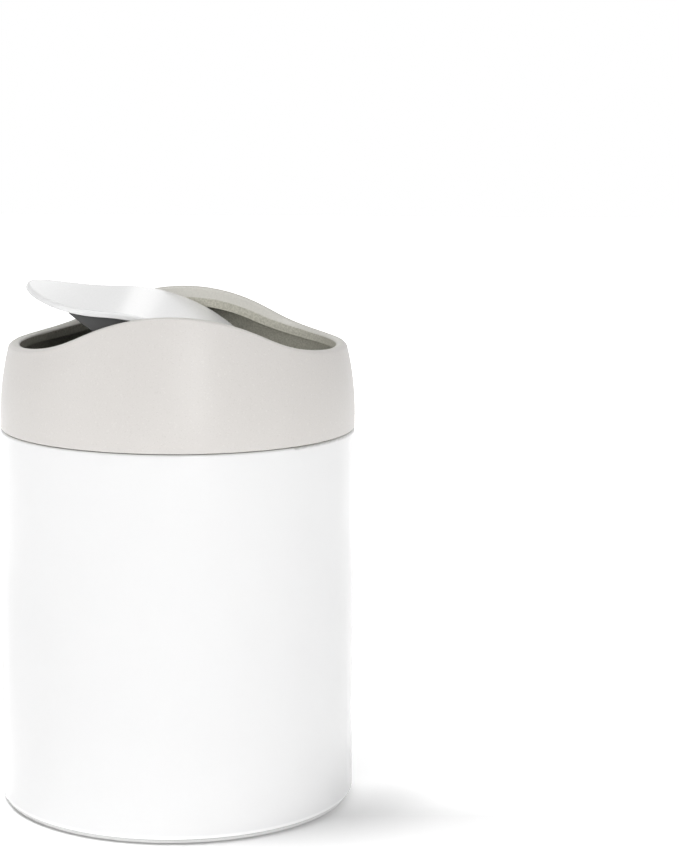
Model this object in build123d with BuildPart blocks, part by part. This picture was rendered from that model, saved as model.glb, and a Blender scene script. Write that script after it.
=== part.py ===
from build123d import *
import os
from dataclasses import dataclass
from math import cos, radians, sin, sqrt

# Countertop trash can with a swing lid.
# Millimetres and degrees. The origin is the centre of the foot ring's underside, +Z is up.
# The lid swings about an axis along Y: -Y is the front of the can, +Y the back.
# The lid's pieces are drawn closed, and turned to the pressed position at the end.

# ---- Driving dimensions ------------------------------------------------------------------

# Steel body
can_radius = 63.5  # outside of the body and of the collar's foot
seam_height = 133.8  # top of the body, where the collar sits
sheet = 0.7  # coated sheet steel
hem_radius = 0.9  # outside radius of the rolled edges
hem_leg = 1.6  # straight part of a rolled edge, inside the can
lock_seam_width = 5.0
lock_seam_start = 9.0  # above the body's lower edge
lock_seam_groove = 0.3

# Base
body_lift = 1.5  # lower edge of the steel above the surface the can stands on
pad_stand = 0.4  # how far the foot ring stands below the base cap
base_inset = 1.2  # visible edge of the base cap, set in from the body
base_fit = 0.15  # radial clearance of the base cap in the lower hem
hem_seat_gap = 0.05  # from the hem to the base cap's flange
base_wall = 2.0
base_wall_top = 14.0
base_floor = 3.2  # underside of the base cap's floor
base_floor_thickness = 2.0
base_corner = 4.0  # radius between the floor and the wall
snap_bead = 0.6  # how far the base cap's bead reaches over the hem
snap_bead_height = 1.6
snap_bead_gap = 0.25  # from the hem's leg to the bead
pad_inset = 5.0  # outside of the foot ring, set in from the body
pad_width = 6.0
pad_depth = 1.6  # depth of the foot ring's groove
foot_wall = 2.5  # wall of the base cap's foot, inside the foot ring
pad_fit = 0.1
pad_groove = 0.8  # width and inset of the two grooves under the foot ring
pad_groove_depth = 0.3
base_rib_count = 12
base_rib = 1.4
base_rib_depth = 2.0
hub_radius = 12.0
gate_radius = 3.0
gate_depth = 1.0

# Collar shell: a dome-shaped ring with a waved rim
collar_straight = 5.0  # straight stretch above the seam
collar_lift = 0.3  # from the body's rolled edge to the collar
dome_curve = 101.0  # radius of the dome's side
collar_wall = 1.8
foot_chamfer = 0.35
rim_width = 3.6  # width of the rim's top face, seen from above
lip_height = 3.1  # height of the lip's inner face
rim_crest_rise = 47.9  # of the crests, front and back, above the seam, before rounding
rim_trough_rise = 30.9  # of the troughs, left and right
rim_crest_radius = 69.0
rim_trough_inset = 0.6  # lowest points of the rim's wave, in from the can's radius
mouth_points = 24  # on the smooth outline of the mouth
rim_round = 2.0  # radius of the rim's outer corner
lip_round = 0.7  # radius of its inner corner
corner_flatness = 1.12  # how much flatter these corners are than a true round
facet_step = 9.0  # degrees between the sections of the rim's top face

# Swing lid
lid_crest_drop = 7.0  # of the top surface over the pivot, below the rim's crests
lid_tip_drop = 1.0  # of the top surface at the tips, below the rim's troughs
lid_crest_radius = 70.0
lid_tip_inset = 7.0  # lowest points of the lid's wave, in from the can's radius
panel_thickness = 2.0
lip_above_lid = 0.2
lid_gap = 0.8  # plan clearance between lid and lip
panel_round = 0.8
panel_under_round = 0.3
pivot_depth = 5.5  # of the pivot axis below the lid's top surface
pressed_angle = 22.9  # turn of the lid as stored, right side down
swing_limit = 65.0  # turn from closed, each way

# Tray under the lid panel
tray_inset = 2.6  # set in from the panel's edge
tray_depth = 9.45  # from the pivot axis down to the tray's lowest point
tray_end_inset = 26.8  # flat ends of the tray, in from the can's radius
tray_end_height = 0.5  # height of these ends
tray_floor = 1.5
tray_wall = 1.6
tray_round = 0.4
tray_panel_gap = 0.1

# Pivots
pin_radius = 1.5
pin_press = 0.02
pin_run = 0.05
pin_end_gap = 0.4
pin_hold = 9.0  # length held in the tray
pin_boss_radius = 3.6
pin_boss_web = 2.0
bush_wall = 0.8
bush_fit = 0.03
bush_flange = 0.5
bush_flange_inset = 0.2  # its flange, set in from the outside of the eye
eye_clearance = 0.4  # from the panel's underside to the eye
eye_gap = 1.1  # from the tray's wall to the eye
eye_blind = 1.1  # material left behind the bush
eye_pocket_fit = 0.25

# Collar liner
liner_fit = 0.15
liner_wall = 1.8
liner_rise = 18.2  # of the liner's top edge above the seam
liner_round = 0.4
skirt_depth = 14.0  # how far the liner reaches into the body
skirt_fit = 0.25
skirt_chamfer = 0.6
guide_rib_count = 6
guide_rib_rise = 0.17
guide_rib_radius = 0.8
snap_count = 8
snap_height = 3.6  # above the seam
snap_width = 8.0
snap_tall = 1.4
snap_reach = 0.5
snap_clear = 0.3
snap_root = 1.0  # how far a hook goes back into the liner's wall from its middle
snap_turn = 22.5  # degrees from +X to the first hook
ear_thickness = 2.2
ear_foot = 10.0  # how far the ear reaches down below the liner's top
web_half = 1.5
nose_reach = 3.8  # how far the stop nose passes under the tray
nose_tall = 2.5
nose_brace = 10.0
stop_clearance = 0.3  # left between tray and stop at the swing limit

# Counterweight and screws
weight_width = 14.0
weight_thickness = 3.2
weight_end_inset = 17.0  # ends of the bar, in from the tray's front and back
weight_rest = 0.3  # from the tray's floor to the bar's lower edges
weight_seat_radius = 4.5
weight_post_radius = 2.4
weight_post_fit = 0.2
weight_round = 2.0
weight_screw_inset = 10.0  # from the bar's end
weight_screw_length = 3.2
weight_head_radius = 3.6
lid_screw_gap = 8.8  # from the bar's side to a screw's pad
lid_screw_inset = 21.0  # of the screws, in from the tray's front and back
lid_boss_radius = 3.0
lid_boss_gap = 0.1
screw_pad_radius = 4.2
screw_pad_height = 3.1
counterbore_radius = 2.9
screw_radius = 1.1
screw_hole_fit = 0.02
screw_clear_radius = 1.5
screw_head_radius = 2.6
screw_head = 1.6
screw_length = 6.0
drive_radius = 0.9
drive_depth = 0.9
screw_tip_gap = 0.4

# ---- Worked out from them ----------------------------------------------------------------

dome_base = seam_height + collar_straight
collar_bottom = seam_height + collar_lift
rim_crest = seam_height + rim_crest_rise
rim_trough = seam_height + rim_trough_rise
lid_crest = rim_crest - lid_crest_drop
pivot_height = lid_crest - pivot_depth
hem_inner = can_radius - 2 * hem_radius
pad_outer = can_radius - pad_inset
pad_inner = pad_outer - pad_width
foot_inner = pad_inner - foot_wall
pivot_axis = Axis((0, 0, pivot_height), (0, 1, 0))
ceiling = rim_crest + can_radius  # well above everything
tangent_step = 0.01  # radians
settle_steps = 40  # rounds in which a size settles on the curve it depends on
cut_past = 1.0  # how far a cut runs past what it cuts
edge_tolerance = 0.5  # an edge this near a wave follows it


def dome_radius_at(height, inset=0.0):
    """Radius of the dome's side at a height, moved in by inset, square to the surface."""
    rise = max(0.0, height - dome_base)
    return can_radius - dome_curve + sqrt((dome_curve - inset) ** 2 - rise**2)


@dataclass
class Wave:
    """A line that is high in the middle and low at both ends, made of tangent arcs."""

    high: float
    low: float
    crest_radius: float
    half_span: float

    def shifted(self, distance):
        """The parallel line, that far above this one."""
        return Wave(
            self.high + distance, self.low + distance, self.crest_radius + distance, self.half_span
        )

    @property
    def radii(self):
        """Crest radius plus trough radius, with which the two arcs meet smoothly."""
        drop = self.high - self.low
        return (self.half_span**2 + drop**2) / (2 * drop)

    @property
    def turn_point(self):
        """Where the right-hand crest and trough arcs meet."""
        share = self.crest_radius / self.radii
        crest_centre = self.high - self.crest_radius
        trough_centre = self.low + self.radii - self.crest_radius
        return (self.half_span * share, crest_centre + (trough_centre - crest_centre) * share)

    def height(self, x):
        """Height of the line at x."""
        x = min(abs(x), self.half_span)
        if x < self.turn_point[0]:
            return self.high - self.crest_radius + sqrt(self.crest_radius**2 - x**2)
        trough_radius = self.radii - self.crest_radius
        return self.low + trough_radius - sqrt(trough_radius**2 - (self.half_span - x) ** 2)

    def block(self, level):
        """The block between the line, drawn out along Y, and a level above or below it."""
        reach = 2 * can_radius
        end = self.half_span
        turn_x, turn_z = self.turn_point
        with BuildPart() as block:
            with BuildSketch(Plane.XZ):
                with BuildLine():
                    Line((-reach, self.low), (-end, self.low))
                    TangentArc((-end, self.low), (-turn_x, turn_z), tangent=(1, 0))
                    ThreePointArc((-turn_x, turn_z), (0, self.high), (turn_x, turn_z))
                    TangentArc((end, self.low), (turn_x, turn_z), tangent=(-1, 0))
                    Polyline(
                        (end, self.low),
                        (reach, self.low),
                        (reach, level),
                        (-reach, level),
                        (-reach, self.low),
                    )
                make_face()
            extrude(amount=reach, both=True)
        return block.part


rim_wave = Wave(rim_crest, rim_trough, rim_crest_radius, can_radius - rim_trough_inset)
lid_wave = Wave(
    lid_crest, rim_trough - lid_tip_drop, lid_crest_radius, can_radius - lid_tip_inset
)
lip_wave = lid_wave.shifted(lip_above_lid)
lip_under_wave = lip_wave.shifted(-lip_height)
panel_under_wave = lid_wave.shifted(-panel_thickness)
tray_top_wave = panel_under_wave.shifted(-tray_panel_gap)

tray_bottom = pivot_height - tray_depth
tray_half_length = can_radius - tray_end_inset
tray_bottom_rise = tray_top_wave.height(tray_half_length) - tray_end_height - tray_bottom
tray_curve = (tray_half_length**2 + tray_bottom_rise**2) / (2 * tray_bottom_rise)


def mouth_radius(angle):
    """Radius of the collar's mouth at an angle from the front: the rim's, less its width.

    The rim's radius depends on its height there, and its height on the radius.
    """
    outer = can_radius
    for _ in range(settle_steps):
        outer = dome_radius_at(rim_wave.height(outer * sin(angle)))
    return outer - rim_width


def tray_underside_at(x):
    """Height of the tray's curved bottom at x, with the lid closed."""
    return tray_bottom + tray_curve - sqrt(tray_curve**2 - x**2)


def stop_drop():
    """How far below the pivot the stop's top lies, so that the tray just reaches it.

    The tray's curved bottom comes down on the stop's corner at the swing limit.
    """
    turn = radians(swing_limit)
    drop = tray_depth
    for _ in range(settle_steps):
        x = web_half * cos(turn) + drop * sin(turn)
        below_pivot = pivot_height - tray_underside_at(x) + stop_clearance
        drop = (web_half * sin(turn) + below_pivot) / cos(turn)
    return drop


mouth_half_width = mouth_radius(0.0)
tray_end = mouth_half_width - lid_gap - tray_inset
eye_face = tray_end + eye_gap
eye_bottom = dome_radius_at(pivot_height, collar_wall + liner_fit) - eye_blind
bush_radius = pin_radius + pin_run + bush_wall
eye_radius = panel_under_wave.high - pivot_height - eye_clearance
stop_top = pivot_height - stop_drop()
liner_outer = collar_wall + liner_fit
liner_inner = liner_outer + liner_wall
skirt_radius = hem_inner - skirt_fit
skirt_bottom = seam_height - skirt_depth
liner_top = seam_height + liner_rise
weight_bottom = tray_underside_at(weight_width / 2) + tray_floor + weight_rest
weight_top = weight_bottom + weight_thickness
weight_length = 2 * (tray_end - weight_end_inset)
weight_screw_spacing = weight_length - 2 * weight_screw_inset
lid_screw_x = weight_width / 2 + lid_screw_gap + screw_pad_radius
lid_screw_y = tray_end - lid_screw_inset
screw_pad_top = tray_underside_at(lid_screw_x) + screw_pad_height
screw_seat = screw_pad_top - (screw_pad_height - screw_head) / 2  # under the screw's head


def dome(inset, bottom, top):
    """The solid inside the dome's side, moved in by inset, between two heights."""
    base_radius = dome_radius_at(dome_base, inset)
    middle = (dome_base + top) / 2
    with BuildPart() as solid:
        with BuildSketch(Plane.XZ):
            with BuildLine():
                Polyline((0, top), (0, bottom), (base_radius, bottom), (base_radius, dome_base))
                ThreePointArc(
                    (base_radius, dome_base),
                    (dome_radius_at(middle, inset), middle),
                    (dome_radius_at(top, inset), top),
                )
                Line((dome_radius_at(top, inset), top), (0, top))
            make_face()
        revolve(axis=Axis.Z)
    return solid.part


def ring(inner, outer, bottom, top):
    """A plain ring about the can's axis."""
    with BuildPart() as solid:
        with BuildSketch(Plane.XY.offset(bottom)):
            Circle(outer)
            Circle(inner, mode=Mode.SUBTRACT)
        extrude(amount=top - bottom)
    return solid.part


def mouth_point(angle):
    """A point of the mouth's outline, at an angle from the front."""
    return Vector(mouth_radius(angle) * sin(angle), -mouth_radius(angle) * cos(angle))


def mouth_column(gap):
    """A tall upright column whose plan is the collar's mouth, made smaller by gap all round.

    The mouth is an oval: longer along X, where the rim is low and the dome wide.
    """
    points = []
    for step in range(mouth_points):
        angle = radians(360 * step / mouth_points)
        along = mouth_point(angle + tangent_step) - mouth_point(angle - tangent_step)
        inward = Vector(-along.Y, along.X).normalized()
        points.append(mouth_point(angle) + inward * gap)
    with BuildPart() as column:
        with BuildSketch(Plane.XY.offset(seam_height)):
            with BuildLine():
                Spline(*points, periodic=True)
            make_face()
        extrude(amount=can_radius)
    return column.part


def corner_arc(corner, first, second, radius):
    """Three points of the arc that rounds a corner between two directions.

    The arc is a little flatter than a true one, so that it crosses both faces cleanly.
    """
    half_turn = radians(first.get_angle(second) / 2)
    length = radius * cos(half_turn) / sin(half_turn)
    reach = radius * corner_flatness * (1 / sin(half_turn) - 1)
    middle = corner + (first + second).normalized() * reach
    return corner + first * length, middle, corner + second * length


def draw_rim_section(angle):
    """Outline, at an angle from the front, of what is cut away above the rim.

    It comes from the mouth, rounds the lip, follows the rim's top face outwards, rounds the
    outer corner and goes on over the dome.
    """
    lip = Vector(mouth_radius(angle), lip_wave.height(mouth_radius(angle) * sin(angle)))
    outer = lip.X + rim_width
    corner = Vector(outer, rim_wave.height(outer * sin(angle)))
    outwards = (corner - lip).normalized()
    lean = (corner.Y - dome_base) / dome_curve
    down_side = Vector(lean, -sqrt(1 - lean**2))
    lip_arc = corner_arc(lip, Vector(0, -1), outwards, lip_round)
    outer_arc = corner_arc(corner, -outwards, down_side, rim_round)
    Line((lip.X - rim_width, lip_arc[0].Y), lip_arc[0])
    ThreePointArc(*lip_arc)
    Line(lip_arc[2], outer_arc[0])
    ThreePointArc(*outer_arc)
    Polyline(
        outer_arc[2],
        (outer + rim_width, outer_arc[2].Y),
        (outer + rim_width, ceiling),
        (lip.X - rim_width, ceiling),
        (lip.X - rim_width, lip_arc[0].Y),
    )


def rim_cutter():
    """All above the rim's top face, which slopes inwards at the crests and is flat at the troughs."""
    steps = round(180 / facet_step)
    with BuildPart() as cutter:
        for step in range(steps + 1):
            angle = radians(step * 180 / steps - 90)
            radial = Plane(
                origin=(0, 0, 0),
                x_dir=(sin(angle), -cos(angle), 0),
                z_dir=(-cos(angle), -sin(angle), 0),
            )
            with BuildSketch(radial):
                with BuildLine():
                    draw_rim_section(angle)
                make_face()
        loft()
        mirror(about=Plane.XZ)
    return cutter.part


def pivot_rod(radius, near, far):
    """A rod on the pivot axis at the back of the can, between two distances from the middle."""
    with BuildPart() as rod:
        with BuildSketch(Plane.XZ.offset(-near)):
            with Locations((0, pivot_height)):
                Circle(radius)
        extrude(amount=near - far)
    return rod.part


def upright_block(half_width, near, far, bottom, top):
    """A block at the back of the can, centred on X, between two distances and two heights."""
    with BuildPart() as block:
        with BuildSketch(Plane.XY.offset(bottom)):
            with Locations((0, (near + far) / 2)):
                Rectangle(2 * half_width, far - near)
        extrude(amount=top - bottom)
    return block.part


def edges_along(piece, wave, inner, outer):
    """Curved edges of a piece that follow a wave, between two distances from the can's axis."""

    def follows(edge):
        middle = edge @ 0.5
        distance = sqrt(middle.X**2 + middle.Y**2)
        near = abs(middle.Z - wave.height(middle.X)) < edge_tolerance and inner < distance < outer
        return near and edge.geom_type != GeomType.LINE

    return piece.edges().filter_by(follows)


# ---- Can: steel body, base cap, foot ring ------------------------------------------------


def hem_line(edge, inward):
    """Sheet section of a rolled edge: out over the edge, down the leg and back.

    edge is the height of the edge, inward is -1 at the top of the can and +1 at the bottom.
    """
    centre = edge + inward * hem_radius
    leg_end = centre + inward * hem_leg
    roll = can_radius - hem_radius
    bend = hem_radius - sheet
    ThreePointArc((can_radius, centre), (roll, edge), (hem_inner, centre))
    Polyline(
        (hem_inner, centre), (hem_inner, leg_end), (hem_inner + sheet, leg_end),
        (hem_inner + sheet, centre),
    )
    ThreePointArc(
        (hem_inner + sheet, centre), (roll, centre - inward * bend), (can_radius - sheet, centre)
    )


low_centre = body_lift + hem_radius
high_centre = seam_height - hem_radius


def lock_seam_fold():
    """Folded strip of sheet up the inside of the body, at the back."""
    bottom = body_lift + lock_seam_start
    top = high_centre - hem_leg - sheet
    with BuildPart() as fold:
        add(ring(can_radius - 2 * sheet, can_radius - sheet, bottom, top))
        strip = upright_block(lock_seam_width / 2, can_radius / 2, can_radius, bottom, top)
        add(strip, mode=Mode.INTERSECT)
    return fold.part


with BuildPart() as body_shell:
    with BuildSketch(Plane.XZ):
        with BuildLine():
            Line((can_radius, low_centre), (can_radius, high_centre))
            hem_line(seam_height, -1)
            Line((can_radius - sheet, high_centre), (can_radius - sheet, low_centre))
            hem_line(body_lift, 1)
        make_face()
    revolve(axis=Axis.Z)
    # Lock seam up the back: a folded strip inside, a fine line outside.
    add(lock_seam_fold())
    with BuildSketch(Plane.XY.offset(low_centre)):
        with Locations((0, can_radius)):
            Rectangle(lock_seam_groove, 2 * lock_seam_groove)
    extrude(amount=high_centre - low_centre, mode=Mode.SUBTRACT)

with BuildPart() as base_cap:
    wall_radius = hem_inner - base_fit
    flange_radius = can_radius - base_inset
    flange_top = body_lift - hem_seat_gap
    bead_bottom = body_lift + hem_radius + hem_leg + snap_bead_gap
    bead_top = bead_bottom + snap_bead_height
    groove_top = pad_stand + pad_depth
    floor_top = base_floor + base_floor_thickness
    inside = wall_radius - base_wall
    with BuildSketch(Plane.XZ):
        with BuildLine():
            Polyline(
                (inside - base_corner, floor_top), (0, floor_top), (0, base_floor),
                (foot_inner, base_floor), (foot_inner, pad_stand),
                (pad_inner - pad_fit, pad_stand), (pad_inner - pad_fit, groove_top),
                (pad_outer + pad_fit, groove_top), (pad_outer + pad_fit, pad_stand),
                (flange_radius, pad_stand), (flange_radius, flange_top), (wall_radius, flange_top),
                (wall_radius, bead_bottom), (wall_radius + snap_bead, bead_bottom),
                (wall_radius, bead_top), (wall_radius, base_wall_top), (inside, base_wall_top),
                (inside, floor_top + base_corner),
            )
            RadiusArc(
                (inside, floor_top + base_corner), (inside - base_corner, floor_top), base_corner
            )
        make_face()
    revolve(axis=Axis.Z)
    with BuildSketch(Plane.XY.offset(base_floor - base_rib_depth)):
        with PolarLocations((hub_radius + foot_inner) / 2, base_rib_count):
            Rectangle(foot_inner - hub_radius + base_rib, base_rib)
        Circle(hub_radius)
        Circle(hub_radius - base_rib, mode=Mode.SUBTRACT)
    extrude(amount=base_rib_depth + base_floor_thickness / 2)
    with BuildSketch(Plane.XY.offset(base_floor - gate_depth)):
        Circle(gate_radius)
    extrude(amount=gate_depth + base_floor_thickness / 2)

with BuildPart() as foot_ring:
    add(ring(pad_inner, pad_outer, 0, groove_top))
    for start in (pad_inner + pad_groove, pad_outer - 2 * pad_groove):
        add(ring(start, start + pad_groove, 0, pad_groove_depth), mode=Mode.SUBTRACT)

# ---- Collar: shell, liner, bushings ------------------------------------------------------

def collar_cavity():
    """The space inside the collar's wall, up to the underside of the lip."""
    with BuildPart() as cavity:
        add(dome(collar_wall, collar_bottom, rim_crest))
        add(lip_under_wave.block(collar_bottom), mode=Mode.INTERSECT)
    return cavity.part


def pivot_pocket():
    """Pocket in the lip, at the back, that the pivot's eye slides up into."""
    radius = eye_radius + eye_pocket_fit
    start = eye_face - lid_gap
    with BuildPart() as pocket:
        add(pivot_rod(radius, start, can_radius))
        add(upright_block(radius, start, can_radius, seam_height, pivot_height))
        add(dome(collar_wall, collar_bottom, rim_crest), mode=Mode.INTERSECT)
    return pocket.part


with BuildPart() as collar_shell:
    add(dome(0, collar_bottom, rim_crest + rim_width))
    add(collar_cavity(), mode=Mode.SUBTRACT)
    add(mouth_column(0), mode=Mode.SUBTRACT)
    add(rim_cutter(), mode=Mode.SUBTRACT)
    # Groove for the liner's snap hooks.
    hook_middle = collar_bottom + snap_height
    hook_half = snap_tall / 2
    snap_groove = snap_reach + snap_clear
    foot_inside = can_radius - collar_wall
    add(
        ring(
            foot_inside - snap_groove, foot_inside + snap_groove,
            hook_middle - hook_half - snap_clear, hook_middle + hook_half + snap_clear,
        ),
        mode=Mode.SUBTRACT,
    )
    add(pivot_pocket(), mode=Mode.SUBTRACT)
    mirror(pivot_pocket(), about=Plane.XZ, mode=Mode.SUBTRACT)
    foot_edge = edges().filter_by(GeomType.CIRCLE).group_by(Axis.Z)[0].sort_by(SortBy.RADIUS)[-1]
    chamfer(foot_edge, foot_chamfer)


def pivot_support():
    """Eye, ear, web and stop nose at the back of the can."""
    nose_tip = tray_end - nose_reach
    with BuildPart() as support:
        add(upright_block(eye_radius, eye_face, can_radius, liner_top - ear_foot, pivot_height))
        ear_face = dome(liner_outer + ear_thickness, collar_bottom - cut_past, rim_crest)
        add(ear_face, mode=Mode.SUBTRACT)
        add(pivot_rod(eye_radius, eye_face, can_radius))
        add(upright_block(web_half, eye_face, can_radius, stop_top - nose_tall, pivot_height))
        with BuildSketch(Plane.YZ):
            with BuildLine():
                Polyline(
                    (nose_tip, stop_top), (nose_tip, stop_top - nose_tall),
                    (nose_tip + nose_brace, stop_top - nose_tall - nose_brace),
                    (can_radius, stop_top - nose_tall - nose_brace), (can_radius, stop_top),
                    close=True,
                )
            make_face()
        extrude(amount=web_half, both=True)
        add(dome(liner_outer, collar_bottom, rim_crest), mode=Mode.INTERSECT)
    return support.part


with BuildPart() as collar_liner:
    add(dome(liner_outer, collar_bottom, liner_top))
    add(ring(skirt_radius / 2, skirt_radius, skirt_bottom, collar_bottom))
    add(dome(liner_inner, skirt_bottom, liner_top), mode=Mode.SUBTRACT)
    top_edges = edges().filter_by(GeomType.CIRCLE).group_by(Axis.Z)[-1]
    fillet(top_edges, liner_round)
    skirt_edge = edges().filter_by(GeomType.CIRCLE).group_by(Axis.Z)[0].sort_by(SortBy.RADIUS)[-1]
    chamfer(skirt_edge, skirt_chamfer)
    # Snap hooks that hold the shell.
    with BuildSketch(Plane.XY.offset(hook_middle - hook_half)):
        with PolarLocations(foot_inside + snap_reach - snap_root, snap_count, start_angle=snap_turn):
            Rectangle(2 * snap_root, snap_width)
    extrude(amount=snap_tall)
    # Guide ribs that steady the skirt in the body.
    with BuildSketch(Plane.XY.offset(skirt_bottom + skirt_chamfer)):
        with PolarLocations(skirt_radius + guide_rib_rise - guide_rib_radius, guide_rib_count):
            Circle(guide_rib_radius)
    extrude(amount=skirt_depth - hem_radius)
    back_support = pivot_support()
    add(back_support)
    mirror(back_support, about=Plane.XZ)
    bush_hole = pivot_rod(bush_radius + bush_fit, eye_face - cut_past, eye_bottom)
    add(bush_hole, mode=Mode.SUBTRACT)
    mirror(bush_hole, about=Plane.XZ, mode=Mode.SUBTRACT)


def bushing():
    """Flanged bush in the back eye."""
    with BuildPart() as bush:
        add(pivot_rod(bush_radius, eye_face, eye_bottom - pin_end_gap / 2))
        add(pivot_rod(eye_radius - bush_flange_inset, eye_face - bush_flange, eye_face))
        bore = pivot_rod(pin_radius + pin_run, eye_face - cut_past, eye_bottom)
        add(bore, mode=Mode.SUBTRACT)
    return bush.part


with BuildPart() as pivot_bushing_back:
    add(bushing())

with BuildPart() as pivot_bushing_front:
    mirror(bushing(), about=Plane.XZ)

# ---- Lid: panel, tray, counterweight, pins, screws ---------------------------------------


def lid_screw_places():
    """The four lid screws, in plan."""
    return GridLocations(2 * lid_screw_x, 2 * lid_screw_y, 2, 2)


def weight_screw_places():
    """The two counterweight screws, in plan."""
    return GridLocations(0, weight_screw_spacing, 1, 2)


with BuildPart() as lid_panel:
    add(mouth_column(lid_gap))
    add(lid_wave.block(ceiling), mode=Mode.SUBTRACT)
    add(panel_under_wave.block(seam_height - cut_past), mode=Mode.SUBTRACT)
    fillet(edges_along(lid_panel.part, lid_wave, tray_end, can_radius), panel_round)
    fillet(edges_along(lid_panel.part, panel_under_wave, tray_end, can_radius), panel_under_round)
    # Screw bosses under the panel.
    with BuildSketch(Plane.XY.offset(screw_pad_top + lid_boss_gap)):
        with lid_screw_places():
            Circle(lid_boss_radius)
    extrude(until=Until.NEXT, target=lid_panel.part)
    with BuildSketch(Plane.XY.offset(screw_pad_top + lid_boss_gap)):
        with lid_screw_places():
            Circle(screw_radius + screw_hole_fit)
    screw_hole_top = screw_seat + screw_length + screw_tip_gap
    extrude(amount=screw_hole_top - screw_pad_top - lid_boss_gap, mode=Mode.SUBTRACT)


def above_tray_curve(rise):
    """Everything above the tray's curved bottom, raised by rise."""
    curve_centre = tray_bottom + tray_curve
    with BuildPart() as space:
        with BuildSketch(Plane.XZ):
            with Locations((0, curve_centre)):
                Circle(tray_curve - rise)
        extrude(amount=can_radius, both=True)
    return space.part


def tray_space(gap, rise):
    """The boat-shaped space under the panel, inside an outline and above the raised bottom."""
    with BuildPart() as space:
        add(mouth_column(gap))
        add(above_tray_curve(rise), mode=Mode.INTERSECT)
        add(tray_top_wave.block(ceiling), mode=Mode.SUBTRACT)
    return space.part


def pin_boss():
    """Boss that holds the back pin, with the web that stands it on the tray's floor."""
    near = tray_end - pin_hold
    far = tray_end - tray_wall / 2
    with BuildPart() as boss:
        add(pivot_rod(pin_boss_radius, near, far))
        add(upright_block(pin_boss_web / 2, near, far, tray_bottom, pivot_height))
    return boss.part


def tray_fittings():
    """Pads, posts and pivot bosses that stand on the tray's floor, under the panel."""
    with BuildPart() as fittings:
        for places, radius, top in (
            (lid_screw_places, screw_pad_radius, screw_pad_top),
            (weight_screw_places, weight_seat_radius, weight_bottom),
            (weight_screw_places, weight_post_radius, weight_top - weight_post_fit),
        ):
            with BuildSketch(Plane.XY.offset(tray_bottom)):
                with places():
                    Circle(radius)
            extrude(amount=top - tray_bottom)
        add(pin_boss())
        mirror(pin_boss(), about=Plane.XZ)
        add(above_tray_curve(tray_floor / 2), mode=Mode.INTERSECT)
        add(tray_top_wave.block(ceiling), mode=Mode.SUBTRACT)
    return fittings.part


def follows_tray_bottom(edge):
    """Whether an edge is a curved one along the tray's bottom."""
    middle = edge @ 0.5
    near = abs(middle.Z - tray_underside_at(middle.X)) < tray_panel_gap
    return near and edge.geom_type != GeomType.LINE


with BuildPart() as lid_underbody:
    add(tray_space(lid_gap + tray_inset, 0))
    Box(2 * tray_half_length, 2 * can_radius, 2 * ceiling, mode=Mode.INTERSECT)
    fillet(edges().filter_by(follows_tray_bottom), tray_round)
    add(tray_space(lid_gap + tray_inset + tray_wall, tray_floor), mode=Mode.SUBTRACT)
    add(tray_fittings())
    # Holes: pins, lid screws with their counterbores, counterweight screws.
    pin_hole = pivot_rod(pin_radius - pin_press, tray_end - pin_hold, can_radius)
    add(pin_hole, mode=Mode.SUBTRACT)
    mirror(pin_hole, about=Plane.XZ, mode=Mode.SUBTRACT)
    for hole_places, hole_radius, hole_bottom, hole_top in (
        (lid_screw_places, screw_clear_radius, tray_bottom, screw_pad_top),
        (lid_screw_places, counterbore_radius, tray_bottom, screw_seat),
        (
            weight_screw_places, screw_radius + screw_hole_fit,
            weight_top - weight_screw_length - screw_tip_gap / 2, weight_top,
        ),
    ):
        with BuildSketch(Plane.XY.offset(hole_bottom)):
            with hole_places():
                Circle(hole_radius)
        extrude(amount=hole_top - hole_bottom, mode=Mode.SUBTRACT)

with BuildPart() as counterweight:
    with BuildSketch(Plane.XY.offset(weight_bottom)):
        RectangleRounded(weight_width, weight_length, weight_round)
        with weight_screw_places():
            Circle(weight_post_radius + weight_post_fit, mode=Mode.SUBTRACT)
    extrude(amount=weight_thickness)
    chamfer(edges().group_by(Axis.Z)[-1].filter_by(GeomType.LINE), weight_post_fit)


def pivot_pin():
    """Pin in the back of the tray, with both ends chamfered."""
    with BuildPart() as pin:
        add(pivot_rod(pin_radius, tray_end - pin_hold, eye_bottom - pin_end_gap))
        chamfer(edges().filter_by(GeomType.CIRCLE), pin_end_gap / 2)
    return pin.part


with BuildPart() as pivot_pin_back:
    add(pivot_pin())

with BuildPart() as pivot_pin_front:
    mirror(pivot_pin(), about=Plane.XZ)


def screw(head_radius, length):
    """Pan-head screw with the underside of its head at the origin, pointing down."""
    with BuildPart() as body:
        with BuildSketch(Plane.XY):
            Circle(head_radius)
        extrude(amount=screw_head)
        fillet(edges().group_by(Axis.Z)[-1], screw_head / 2)
        with BuildSketch(Plane.XY):
            Circle(screw_radius)
        extrude(amount=-length)
        with BuildSketch(Plane.XY.offset(screw_head - drive_depth)):
            RegularPolygon(drive_radius, side_count=6)
        extrude(amount=drive_depth, mode=Mode.SUBTRACT)
    return body.part


with BuildPart() as counterweight_screws:
    with Locations(Plane.XY.offset(weight_top)):
        with weight_screw_places():
            add(screw(weight_head_radius, weight_screw_length))

with BuildPart() as lid_screws:
    with Locations(Plane.XY.offset(screw_seat)):
        with lid_screw_places():
            add(screw(screw_head_radius, screw_length), rotation=(180, 0, 0))

# ---- Names and files ---------------------------------------------------------------------

for drawn_closed in (
    lid_panel, lid_underbody, counterweight, counterweight_screws, lid_screws, pivot_pin_front,
    pivot_pin_back,
):
    drawn_closed.part = drawn_closed.part.rotate(pivot_axis, pressed_angle)

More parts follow.
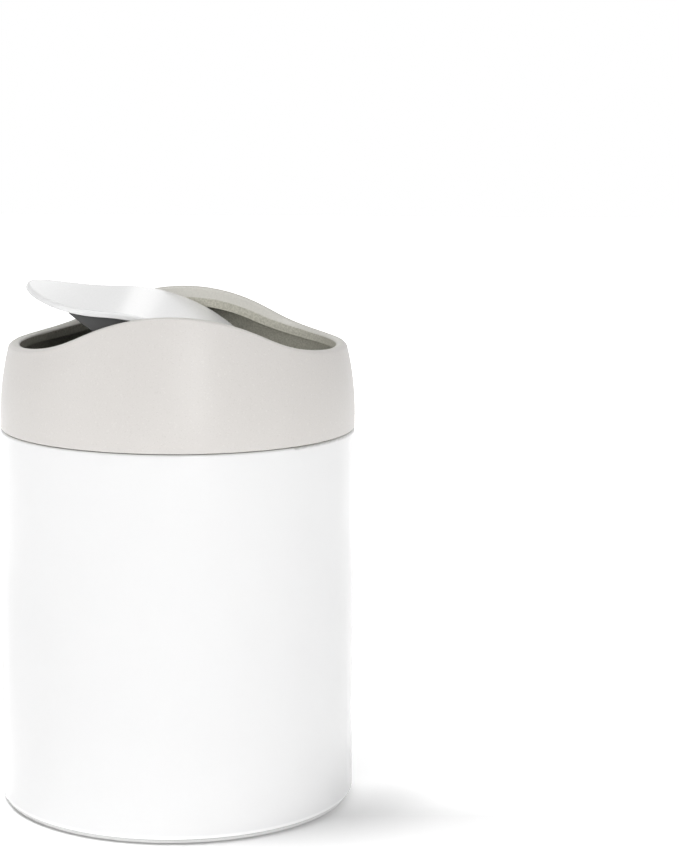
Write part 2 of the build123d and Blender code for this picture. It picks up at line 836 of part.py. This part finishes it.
body_shell.part.label = "body_shell"
base_cap.part.label = "base_cap"
foot_ring.part.label = "foot_ring"
collar_shell.part.label = "collar_shell"
collar_liner.part.label = "collar_liner"
pivot_bushing_front.part.label = "pivot_bushing_front"
pivot_bushing_back.part.label = "pivot_bushing_back"
lid_panel.part.label = "lid_panel"
lid_underbody.part.label = "lid_underbody"
counterweight.part.label = "counterweight"
counterweight_screws.part.label = "counterweight_screws"
lid_screws.part.label = "lid_screws"
pivot_pin_front.part.label = "pivot_pin_front"
pivot_pin_back.part.label = "pivot_pin_back"

os.makedirs("parts", exist_ok=True)
export_step(body_shell.part, "parts/body_shell.step")
export_step(base_cap.part, "parts/base_cap.step")
export_step(foot_ring.part, "parts/foot_ring.step")
export_step(collar_shell.part, "parts/collar_shell.step")
export_step(collar_liner.part, "parts/collar_liner.step")
export_step(pivot_bushing_front.part, "parts/pivot_bushing_front.step")
export_step(pivot_bushing_back.part, "parts/pivot_bushing_back.step")
export_step(lid_panel.part, "parts/lid_panel.step")
export_step(lid_underbody.part, "parts/lid_underbody.step")
export_step(counterweight.part, "parts/counterweight.step")
export_step(counterweight_screws.part, "parts/counterweight_screws.step")
export_step(lid_screws.part, "parts/lid_screws.step")
export_step(pivot_pin_front.part, "parts/pivot_pin_front.step")
export_step(pivot_pin_back.part, "parts/pivot_pin_back.step")
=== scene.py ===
from math import radians

import bpy
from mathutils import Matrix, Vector

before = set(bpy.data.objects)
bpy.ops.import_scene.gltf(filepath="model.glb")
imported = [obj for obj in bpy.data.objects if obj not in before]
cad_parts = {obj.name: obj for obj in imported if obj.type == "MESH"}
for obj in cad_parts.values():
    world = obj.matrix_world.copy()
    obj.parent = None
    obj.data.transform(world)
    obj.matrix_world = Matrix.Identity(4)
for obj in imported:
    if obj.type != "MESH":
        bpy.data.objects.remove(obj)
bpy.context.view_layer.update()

# Countertop trash can with a swing lid. Lengths are in metres, in the CAD frame:
# the can stands on z = 0, -Y is its front, and the stored lid is pressed on the +X side.

# ---- Camera, as in the photograph ---------------------------------------------------------

CAMERA_PLACE = (0.0360, -0.8183, 0.2663)
CAMERA_TURN = (83.9915, -0.4515, -1.4650)  # degrees
CAMERA_LENS = 97.06  # mm, on a 36 mm sensor
CAMERA_SHIFT = -0.15  # keeps the can's sides nearly parallel

# ---- Studio ------------------------------------------------------------------------------

FLOOR_SIZE = 6.0
SKY_SPAN = (0.45, 0.80)  # steepness between which the sky fades from horizon to zenith
HORIZON_LIGHT = 0.75
ZENITH_LIGHT = 0.05
SKY_BACK_SPAN = (-0.1, 0.7)  # towards the back, +Y, it dims over this span
SKY_BACK_SHARE = 0.5  # to this share
NEAR_GLOW = 0.02  # of the floor as the camera and reflections see it, near the can
FAR_GLOW = 1.0  # and far from it, where the lamps fade
GLOW_RADII = (0.16, 0.55)
BACK_GLOW = 0.52  # least glow behind the can; it hides most of the shadow there
BACK_GLOW_SPAN = (-0.035, 0.005)

# ---- Finishes ----------------------------------------------------------------------------

SOFT_NOISE = (0.3, 0.7)  # noise values that become 0 and 1
CLEAR_NOISE = (0.35, 0.65)
PAINTED_HIGHLIGHT_BAND = (0.0026, 0.0032)  # painted highlight: the rolled foot of the steel is lighter up to this height
PAINTED_SHADE_BAND = (0.00165, 0.0018)  # painted shade: the steel is dark up to this one, as in the gap under it


def node(tree, kind, **values):
    """A shader node, with its properties or its input sockets set by name."""
    made = tree.nodes.new("ShaderNode" + kind)
    for name, value in values.items():
        if hasattr(made, name):
            setattr(made, name, value)
        else:
            made.inputs[name.replace("_", " ")].default_value = value
    return made


def new_material(name):
    """A material with an empty principled shader, and its node tree."""
    material = bpy.data.materials.new(name)
    material.use_nodes = True
    tree = material.node_tree
    return material, tree, tree.nodes["Principled BSDF"]


def place(tree):
    """Object coordinates, in metres."""
    return node(tree, "TexCoord").outputs["Object"]


def noise(tree, scale, detail=3.0, roughness=0.5):
    """Noise of a given scale per metre."""
    made = node(tree, "TexNoise", Scale=scale, Detail=detail, Roughness=roughness)
    tree.links.new(place(tree), made.inputs["Vector"])
    return made.outputs["Fac"]


def remap(tree, value, low, high, out_low, out_high):
    """A value mapped from one range to another, and kept in it."""
    made = node(tree, "MapRange")
    tree.links.new(value, made.inputs["Value"])
    limits = {"From Min": low, "From Max": high, "To Min": out_low, "To Max": out_high}
    for name, limit in limits.items():
        made.inputs[name].default_value = limit
    return made.outputs["Result"]


def blend_colours(tree, factor, first, second):
    """The first colour where factor is 0, the second where it is 1."""
    made = node(tree, "Mix", data_type="RGBA")
    tree.links.new(factor, made.inputs["Factor"])
    for socket, colour in ((made.inputs[6], first), (made.inputs[7], second)):
        if isinstance(colour, bpy.types.NodeSocket):
            tree.links.new(colour, socket)
        else:
            socket.default_value = (*colour, 1.0)
    return made.outputs[2]


def bumps(tree, shader, *layers):
    """Bump layers on a shader: each is a height, its strength and its depth in metres."""
    normal = None
    for height, strength, distance in layers:
        made = node(tree, "Bump", Strength=strength, Distance=distance)
        tree.links.new(height, made.inputs["Height"])
        if normal is not None:
            tree.links.new(normal, made.inputs["Normal"])
        normal = made.outputs["Normal"]
    tree.links.new(normal, shader.inputs["Normal"])


def facing(tree):
    """How far a surface faces away from the can's axis, and how far it faces up."""
    coordinates = node(tree, "TexCoord")
    level = node(tree, "VectorMath", operation="MULTIPLY")
    tree.links.new(coordinates.outputs["Object"], level.inputs[0])
    level.inputs[1].default_value = (1.0, 1.0, 0.0)
    radial = node(tree, "VectorMath", operation="NORMALIZE")
    tree.links.new(level.outputs[0], radial.inputs[0])
    outward = node(tree, "VectorMath", operation="DOT_PRODUCT")
    tree.links.new(radial.outputs[0], outward.inputs[0])
    tree.links.new(coordinates.outputs["Normal"], outward.inputs[1])
    parts = node(tree, "SeparateXYZ")
    tree.links.new(coordinates.outputs["Normal"], parts.inputs[0])
    return outward.outputs["Value"], parts.outputs["Z"]


def product(tree, first, second):
    """Two values multiplied."""
    made = node(tree, "Math", operation="MULTIPLY")
    tree.links.new(first, made.inputs[0])
    tree.links.new(second, made.inputs[1])
    return made.outputs[0]


def speckled(name, colour, dark, light, roughness, grain, amount):
    """Moulded plastic with a fine two-tone speckle, a soft mottling and a matte grain."""
    material, tree, shader = new_material(name)
    clouds = remap(tree, noise(tree, 45.0, 2.0), *CLEAR_NOISE, 0.0, 1.0)
    base = blend_colours(tree, clouds, colour, [c * 0.985 for c in colour])
    dots = remap(tree, noise(tree, grain, 1.5, 0.6), 0.60, 0.72, 0.0, amount)
    flecks = remap(tree, noise(tree, grain * 0.62, 1.0, 0.5), 0.62, 0.74, 0.0, amount)
    base = blend_colours(tree, dots, base, dark)
    base = blend_colours(tree, flecks, base, light)
    gloss = remap(tree, noise(tree, 900.0, 2.0), *SOFT_NOISE, roughness - 0.05, roughness + 0.05)
    tree.links.new(gloss, shader.inputs["Roughness"])
    bumps(tree, shader, (noise(tree, 2600.0, 2.0), 0.10, 0.00008))
    return material, tree, shader, base


def collar_plastic():
    """Speckled stone-grey plastic, with painted shade that makes it a little darker and greener
    on the rim and inside.
    """
    material, tree, shader, base = speckled(
        "speckled_stone_plastic", (0.695, 0.67, 0.645), (0.50, 0.48, 0.44),
        (0.82, 0.80, 0.77), 0.38, 2200.0, 0.28,
    )
    outward, upward = facing(tree)
    grit = remap(tree, noise(tree, 1500.0, 2.0), *CLEAR_NOISE, 0.0, 1.0)
    # Painted shade: darker, greener tones where the rim faces inward, darkest on the steep inner
    # wall.
    rim_painted_shade = blend_colours(tree, grit, (0.61, 0.597, 0.55), (0.655, 0.64, 0.59))
    wall_painted_shade = blend_colours(tree, grit, (0.45, 0.44, 0.37), (0.60, 0.585, 0.505))
    inward_shade_mask = remap(tree, outward, 0.1, 0.5, 1.0, 0.0)
    wall_shade_mask = product(tree, inward_shade_mask, remap(tree, upward, 0.15, 0.35, 1.0, 0.0))
    base = blend_colours(tree, inward_shade_mask, base, rim_painted_shade)
    base = blend_colours(tree, wall_shade_mask, base, wall_painted_shade)
    tree.links.new(base, shader.inputs["Base Color"])
    shader.inputs["Specular IOR Level"].default_value = 0.45
    return material


def liner_plastic():
    """Dark, coarsely speckled plastic: a grey of its own, darkened further as painted shade for
    the inside of the collar.
    """
    material, tree, shader, base = speckled(
        "mid_grey_plastic", (0.10, 0.10, 0.088), (0.052, 0.052, 0.045),
        (0.16, 0.16, 0.14), 0.5, 1500.0, 0.8,
    )
    tree.links.new(base, shader.inputs["Base Color"])
    return material


def coated_steel():
    """White powder coat: smooth, half gloss, with a faint orange peel, a painted highlight on its
    rolled foot and painted shade at its lowest edge.
    """
    material, tree, shader = new_material("white_coated_steel")
    tone = remap(tree, noise(tree, 14.0, 3.0), *SOFT_NOISE, 0.0, 1.0)
    colour = blend_colours(tree, tone, (0.855, 0.855, 0.857), (0.865, 0.865, 0.867))
    height = node(tree, "SeparateXYZ")
    tree.links.new(place(tree), height.inputs[0])
    # Painted highlight on the rolled foot and painted shade at the steel's lowest edge, both set
    # by height.
    painted_highlight = remap(tree, height.outputs["Z"], *PAINTED_HIGHLIGHT_BAND, 1.0, 0.0)
    painted_shade = remap(tree, height.outputs["Z"], *PAINTED_SHADE_BAND, 1.0, 0.0)
    colour = blend_colours(tree, painted_highlight, colour, (0.97, 0.97, 0.97))
    colour = blend_colours(tree, painted_shade, colour, (0.12, 0.12, 0.12))
    tree.links.new(colour, shader.inputs["Base Color"])
    shader.inputs["Specular IOR Level"].default_value = 0.45
    gloss = remap(tree, noise(tree, 1100.0, 2.0), *SOFT_NOISE, 0.20, 0.22)
    tree.links.new(gloss, shader.inputs["Roughness"])
    bumps(tree, shader, (noise(tree, 350.0, 1.0), 0.01, 0.00005))
    return material


def gloss_white():
    """Polished white plastic, with a faint change of tone, small changes of gloss and a fine
    grain.
    """
    material, tree, shader = new_material("white_gloss_plastic")
    tone = remap(tree, noise(tree, 25.0, 2.0), *SOFT_NOISE, 0.0, 1.0)
    colour = blend_colours(tree, tone, (0.83, 0.83, 0.83), (0.84, 0.84, 0.838))
    tree.links.new(colour, shader.inputs["Base Color"])
    gloss = remap(tree, noise(tree, 1400.0, 3.0, 0.6), 0.35, 0.7, 0.20, 0.24)
    tree.links.new(gloss, shader.inputs["Roughness"])
    bumps(tree, shader, (noise(tree, 1600.0, 1.0), 0.02, 0.00003))
    return material


def plain_plastic(name, colour, roughness, grain=1800.0):
    """Moulded plastic with a fine grain and slight changes of tone."""
    material, tree, shader = new_material(name)
    tone = remap(tree, noise(tree, 60.0, 4.0), *SOFT_NOISE, 0.0, 1.0)
    base = blend_colours(tree, tone, colour, [c * 0.93 for c in colour])
    tree.links.new(base, shader.inputs["Base Color"])
    gloss = remap(tree, noise(tree, 700.0, 2.0), *SOFT_NOISE, roughness - 0.06, roughness + 0.06)
    tree.links.new(gloss, shader.inputs["Roughness"])
    bumps(tree, shader, (noise(tree, grain, 2.0), 0.15, 0.0001))
    return material


def steel(name, colour, roughness):
    """Bright steel with a fine noise grain and small changes of gloss."""
    material, tree, shader = new_material(name)
    tone = remap(tree, noise(tree, 300.0, 3.0), *SOFT_NOISE, 0.0, 1.0)
    base = blend_colours(tree, tone, colour, [c * 0.85 for c in colour])
    tree.links.new(base, shader.inputs["Base Color"])
    shader.inputs["Metallic"].default_value = 1.0
    gloss = remap(tree, noise(tree, 1200.0, 3.0), *SOFT_NOISE, roughness - 0.07, roughness + 0.07)
    tree.links.new(gloss, shader.inputs["Roughness"])
    bumps(tree, shader, (noise(tree, 2400.0, 2.0), 0.1, 0.00005))
    return material


FINISHES = {
    "body_shell": coated_steel(),
    "base_cap": plain_plastic("pale_grey_plastic", (0.84, 0.84, 0.83), 0.4),
    # Near-black rubber: partly its own colour, partly painted shade for the dark line under the
    # base.
    "foot_ring": plain_plastic("grey_rubber", (0.05, 0.05, 0.049), 0.75, 1200.0),
    "collar_shell": collar_plastic(),
    # The liner's darkness is partly its own grey and partly painted shade inside the collar.
    "collar_liner": liner_plastic(),
    "lid_panel": gloss_white(),
    "lid_underbody": plain_plastic("dark_grey_plastic", (0.05, 0.05, 0.05), 0.42),
    "pivot_bushing_front": plain_plastic("natural_acetal", (0.70, 0.68, 0.60), 0.3),
    "counterweight": steel("weight_steel", (0.42, 0.42, 0.43), 0.38),
    "lid_screws": steel("screw_steel", (0.55, 0.55, 0.57), 0.28),
    "pivot_pin_front": steel("pin_steel", (0.60, 0.60, 0.61), 0.22),
}
FINISHES["pivot_bushing_back"] = FINISHES["pivot_bushing_front"]
FINISHES["counterweight_screws"] = FINISHES["lid_screws"]
FINISHES["pivot_pin_back"] = FINISHES["pivot_pin_front"]

for name, finish in FINISHES.items():
    for material_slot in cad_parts[name].material_slots:
        material_slot.material = finish


def make_camera():
    """The camera, at the photograph's viewing angle."""
    data = bpy.data.cameras.new("camera")
    data.sensor_width = 36.0
    data.lens = CAMERA_LENS
    data.shift_y = CAMERA_SHIFT
    camera = bpy.data.objects.new("camera", data)
    camera.location = CAMERA_PLACE
    camera.rotation_euler = [radians(turn) for turn in CAMERA_TURN]
    bpy.context.collection.objects.link(camera)
    bpy.context.scene.camera = camera


def seen_rays(tree):
    """1 for what the camera sees straight on, in a reflection or through glass, otherwise 0."""
    rays = node(tree, "LightPath")
    total = rays.outputs["Is Camera Ray"]
    for name in ("Is Glossy Ray", "Is Transmission Ray"):
        larger = node(tree, "Math", operation="MAXIMUM")
        tree.links.new(total, larger.inputs[0])
        tree.links.new(rays.outputs[name], larger.inputs[1])
        total = larger.outputs[0]
    return total


def make_floor():
    """A white floor that keeps the can's shadow to the right and front."""
    half = FLOOR_SIZE / 2
    mesh = bpy.data.meshes.new("floor")
    corners = [(-half, -half, 0), (half, -half, 0), (half, half, 0), (-half, half, 0)]
    mesh.from_pydata(corners, [], [(0, 1, 2, 3)])
    floor = bpy.data.objects.new("floor", mesh)
    bpy.context.collection.objects.link(floor)
    material, tree, shader = new_material("floor_white")
    shader.inputs["Base Color"].default_value = (0.95, 0.95, 0.95, 1.0)
    shader.inputs["Roughness"].default_value = 0.9
    away = node(tree, "VectorMath", operation="LENGTH")
    tree.links.new(place(tree), away.inputs[0])
    growing = remap(tree, away.outputs["Value"], *GLOW_RADII, NEAR_GLOW, FAR_GLOW)
    parts = node(tree, "SeparateXYZ")
    tree.links.new(place(tree), parts.inputs[0])
    behind = remap(tree, parts.outputs["Y"], *BACK_GLOW_SPAN, 0.0, BACK_GLOW)
    larger = node(tree, "Math", operation="MAXIMUM")
    tree.links.new(growing, larger.inputs[0])
    tree.links.new(behind, larger.inputs[1])
    glow = product(tree, seen_rays(tree), larger.outputs[0])
    shader.inputs["Emission Color"].default_value = (1.0, 1.0, 1.0, 1.0)
    tree.links.new(glow, shader.inputs["Emission Strength"])
    mesh.materials.append(material)
    return floor


def make_world():
    """Surroundings: white to the camera and in reflections, an uneven sky as light."""
    world = bpy.data.worlds.new("studio")
    bpy.context.scene.world = world
    world.use_nodes = True
    tree = world.node_tree
    background = tree.nodes["Background"]
    background.inputs["Color"].default_value = (1.0, 1.0, 1.0, 1.0)
    direction = node(tree, "SeparateXYZ")
    tree.links.new(node(tree, "TexCoord").outputs["Generated"], direction.inputs[0])
    ring = remap(tree, direction.outputs["Z"], *SKY_SPAN, HORIZON_LIGHT, ZENITH_LIGHT)
    dimming = remap(tree, direction.outputs["Y"], *SKY_BACK_SPAN, 1.0, SKY_BACK_SHARE)
    sky = product(tree, ring, dimming)
    seen = node(tree, "Mix", data_type="FLOAT")
    tree.links.new(seen_rays(tree), seen.inputs["Factor"])
    tree.links.new(sky, seen.inputs[2])
    seen.inputs[3].default_value = 1.0
    tree.links.new(seen.outputs[0], background.inputs["Strength"])


def area_light(name, spot, target, size, watts, lit=None):
    """A rectangular soft box that faces a target, and lights one object only if it is given."""
    data = bpy.data.lights.new(name, "AREA")
    data.shape = "RECTANGLE"
    data.size, data.size_y = size
    data.energy = watts
    light = bpy.data.objects.new(name, data)
    light.location = spot
    aim = Vector(target) - Vector(spot)
    light.rotation_euler = aim.to_track_quat("-Z", "Y").to_euler()
    light.visible_camera = False
    bpy.context.collection.objects.link(light)
    if lit is not None:
        receivers = bpy.data.collections.new(name + "_receivers")
        receivers.objects.link(lit)
        light.light_linking.receiver_collection = receivers


make_camera()
floor = make_floor()
make_world()
area_light("key", (-0.27, 0.05, 1.5), (0, 0, 0.1), (0.4, 0.9), 6.3)
# This lamp lights only the floor: it sets the shape and depth of the shadow.
area_light("floor_key", (-0.28, -0.12, 1.5), (0, 0, 0.1), (0.35, 0.35), 10.6, floor)
area_light("left", (-1.4, -0.5, 0.35), (0, 0, 0.1), (0.5, 0.9), 2.1)
area_light("front", (0.31, -1.35, 0.58), (0, 0, 0.12), (0.17, 1.1), 6.2)
# This one lights only the lid panel.
area_light(
    "lid_fill", (0.9, 0.0, 0.55), (0, 0, 0.17), (0.4, 0.4), 1.7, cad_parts["lid_panel"]
)
area_light("back", (-0.034, 1.3, 0.42), (0, 0, 0.17), (0.08, 0.30), 0.042)
bpy.context.scene.view_settings.view_transform = "Standard"
